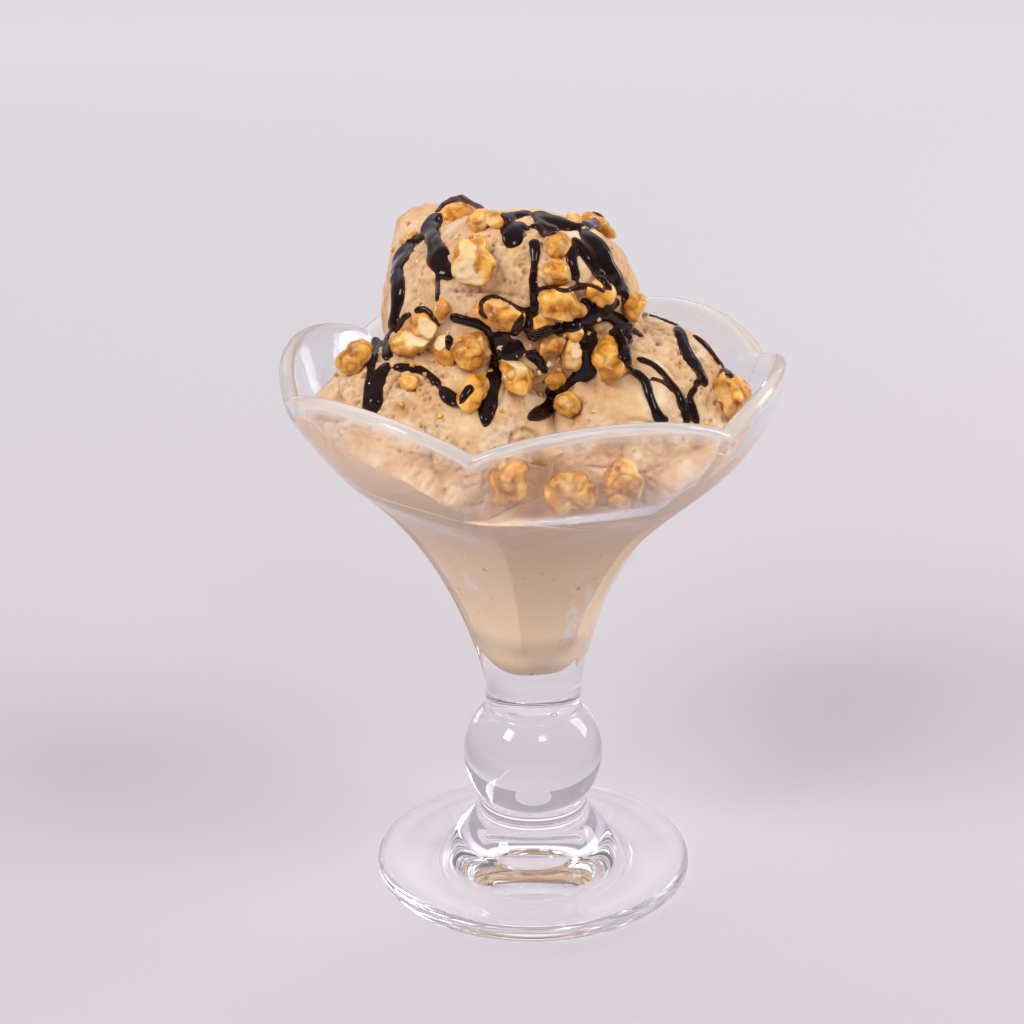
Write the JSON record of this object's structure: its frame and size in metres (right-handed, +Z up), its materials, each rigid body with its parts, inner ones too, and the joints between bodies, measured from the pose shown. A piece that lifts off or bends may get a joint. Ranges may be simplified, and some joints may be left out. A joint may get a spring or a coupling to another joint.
{
  "type": "ice cream sundae",
  "caption": "Footed glass sundae dish with a petalled rim, filled with coffee ice cream, topped with walnut pieces and runs of chocolate sauce",
  "frame": {"origin": "middle of the foot's resting ring, on the surface that the dish stands on", "axes": "+Z up along the dish's axis, -Y towards the front of the pictured view, +X to its right"},
  "size_m": [0.1142, 0.1142, 0.1667],
  "materials": {
    "glass": "polished",
    "ice_cream": "matt, porous",
    "walnut": "satin",
    "sauce": "wet gloss"
  },
  "bodies": {
    "root": {"glass_dish": "glass", "ice_cream_filling": "ice_cream", "scoop_left": "ice_cream", "scoop_right": "ice_cream", "scoop_back": "ice_cream", "scoop_top": "ice_cream", "walnut_01": "walnut", "walnut_02": "walnut", "walnut_03": "walnut", "walnut_04": "walnut", "walnut_05": "walnut", "walnut_06": "walnut", "walnut_07": "walnut", "walnut_08": "walnut", "walnut_09": "walnut", "walnut_10": "walnut", "walnut_11": "walnut", "walnut_12": "walnut", "walnut_13": "walnut", "walnut_14": "walnut", "walnut_15": "walnut", "walnut_16": "walnut", "walnut_17": "walnut", "walnut_18": "walnut", "walnut_19": "walnut", "walnut_20": "walnut", "walnut_21": "walnut", "walnut_22": "walnut", "walnut_23": "walnut", "walnut_24": "walnut", "walnut_25": "walnut", "walnut_26": "walnut", "walnut_27": "walnut", "walnut_28": "walnut", "walnut_29": "walnut", "walnut_30": "walnut", "walnut_31": "walnut", "walnut_32": "walnut", "walnut_33": "walnut", "walnut_34": "walnut", "walnut_35": "walnut", "walnut_36": "walnut", "walnut_37": "walnut", "walnut_38": "walnut", "walnut_39": "walnut", "walnut_40": "walnut", "walnut_41": "walnut"}
  },
  "joints": []
}
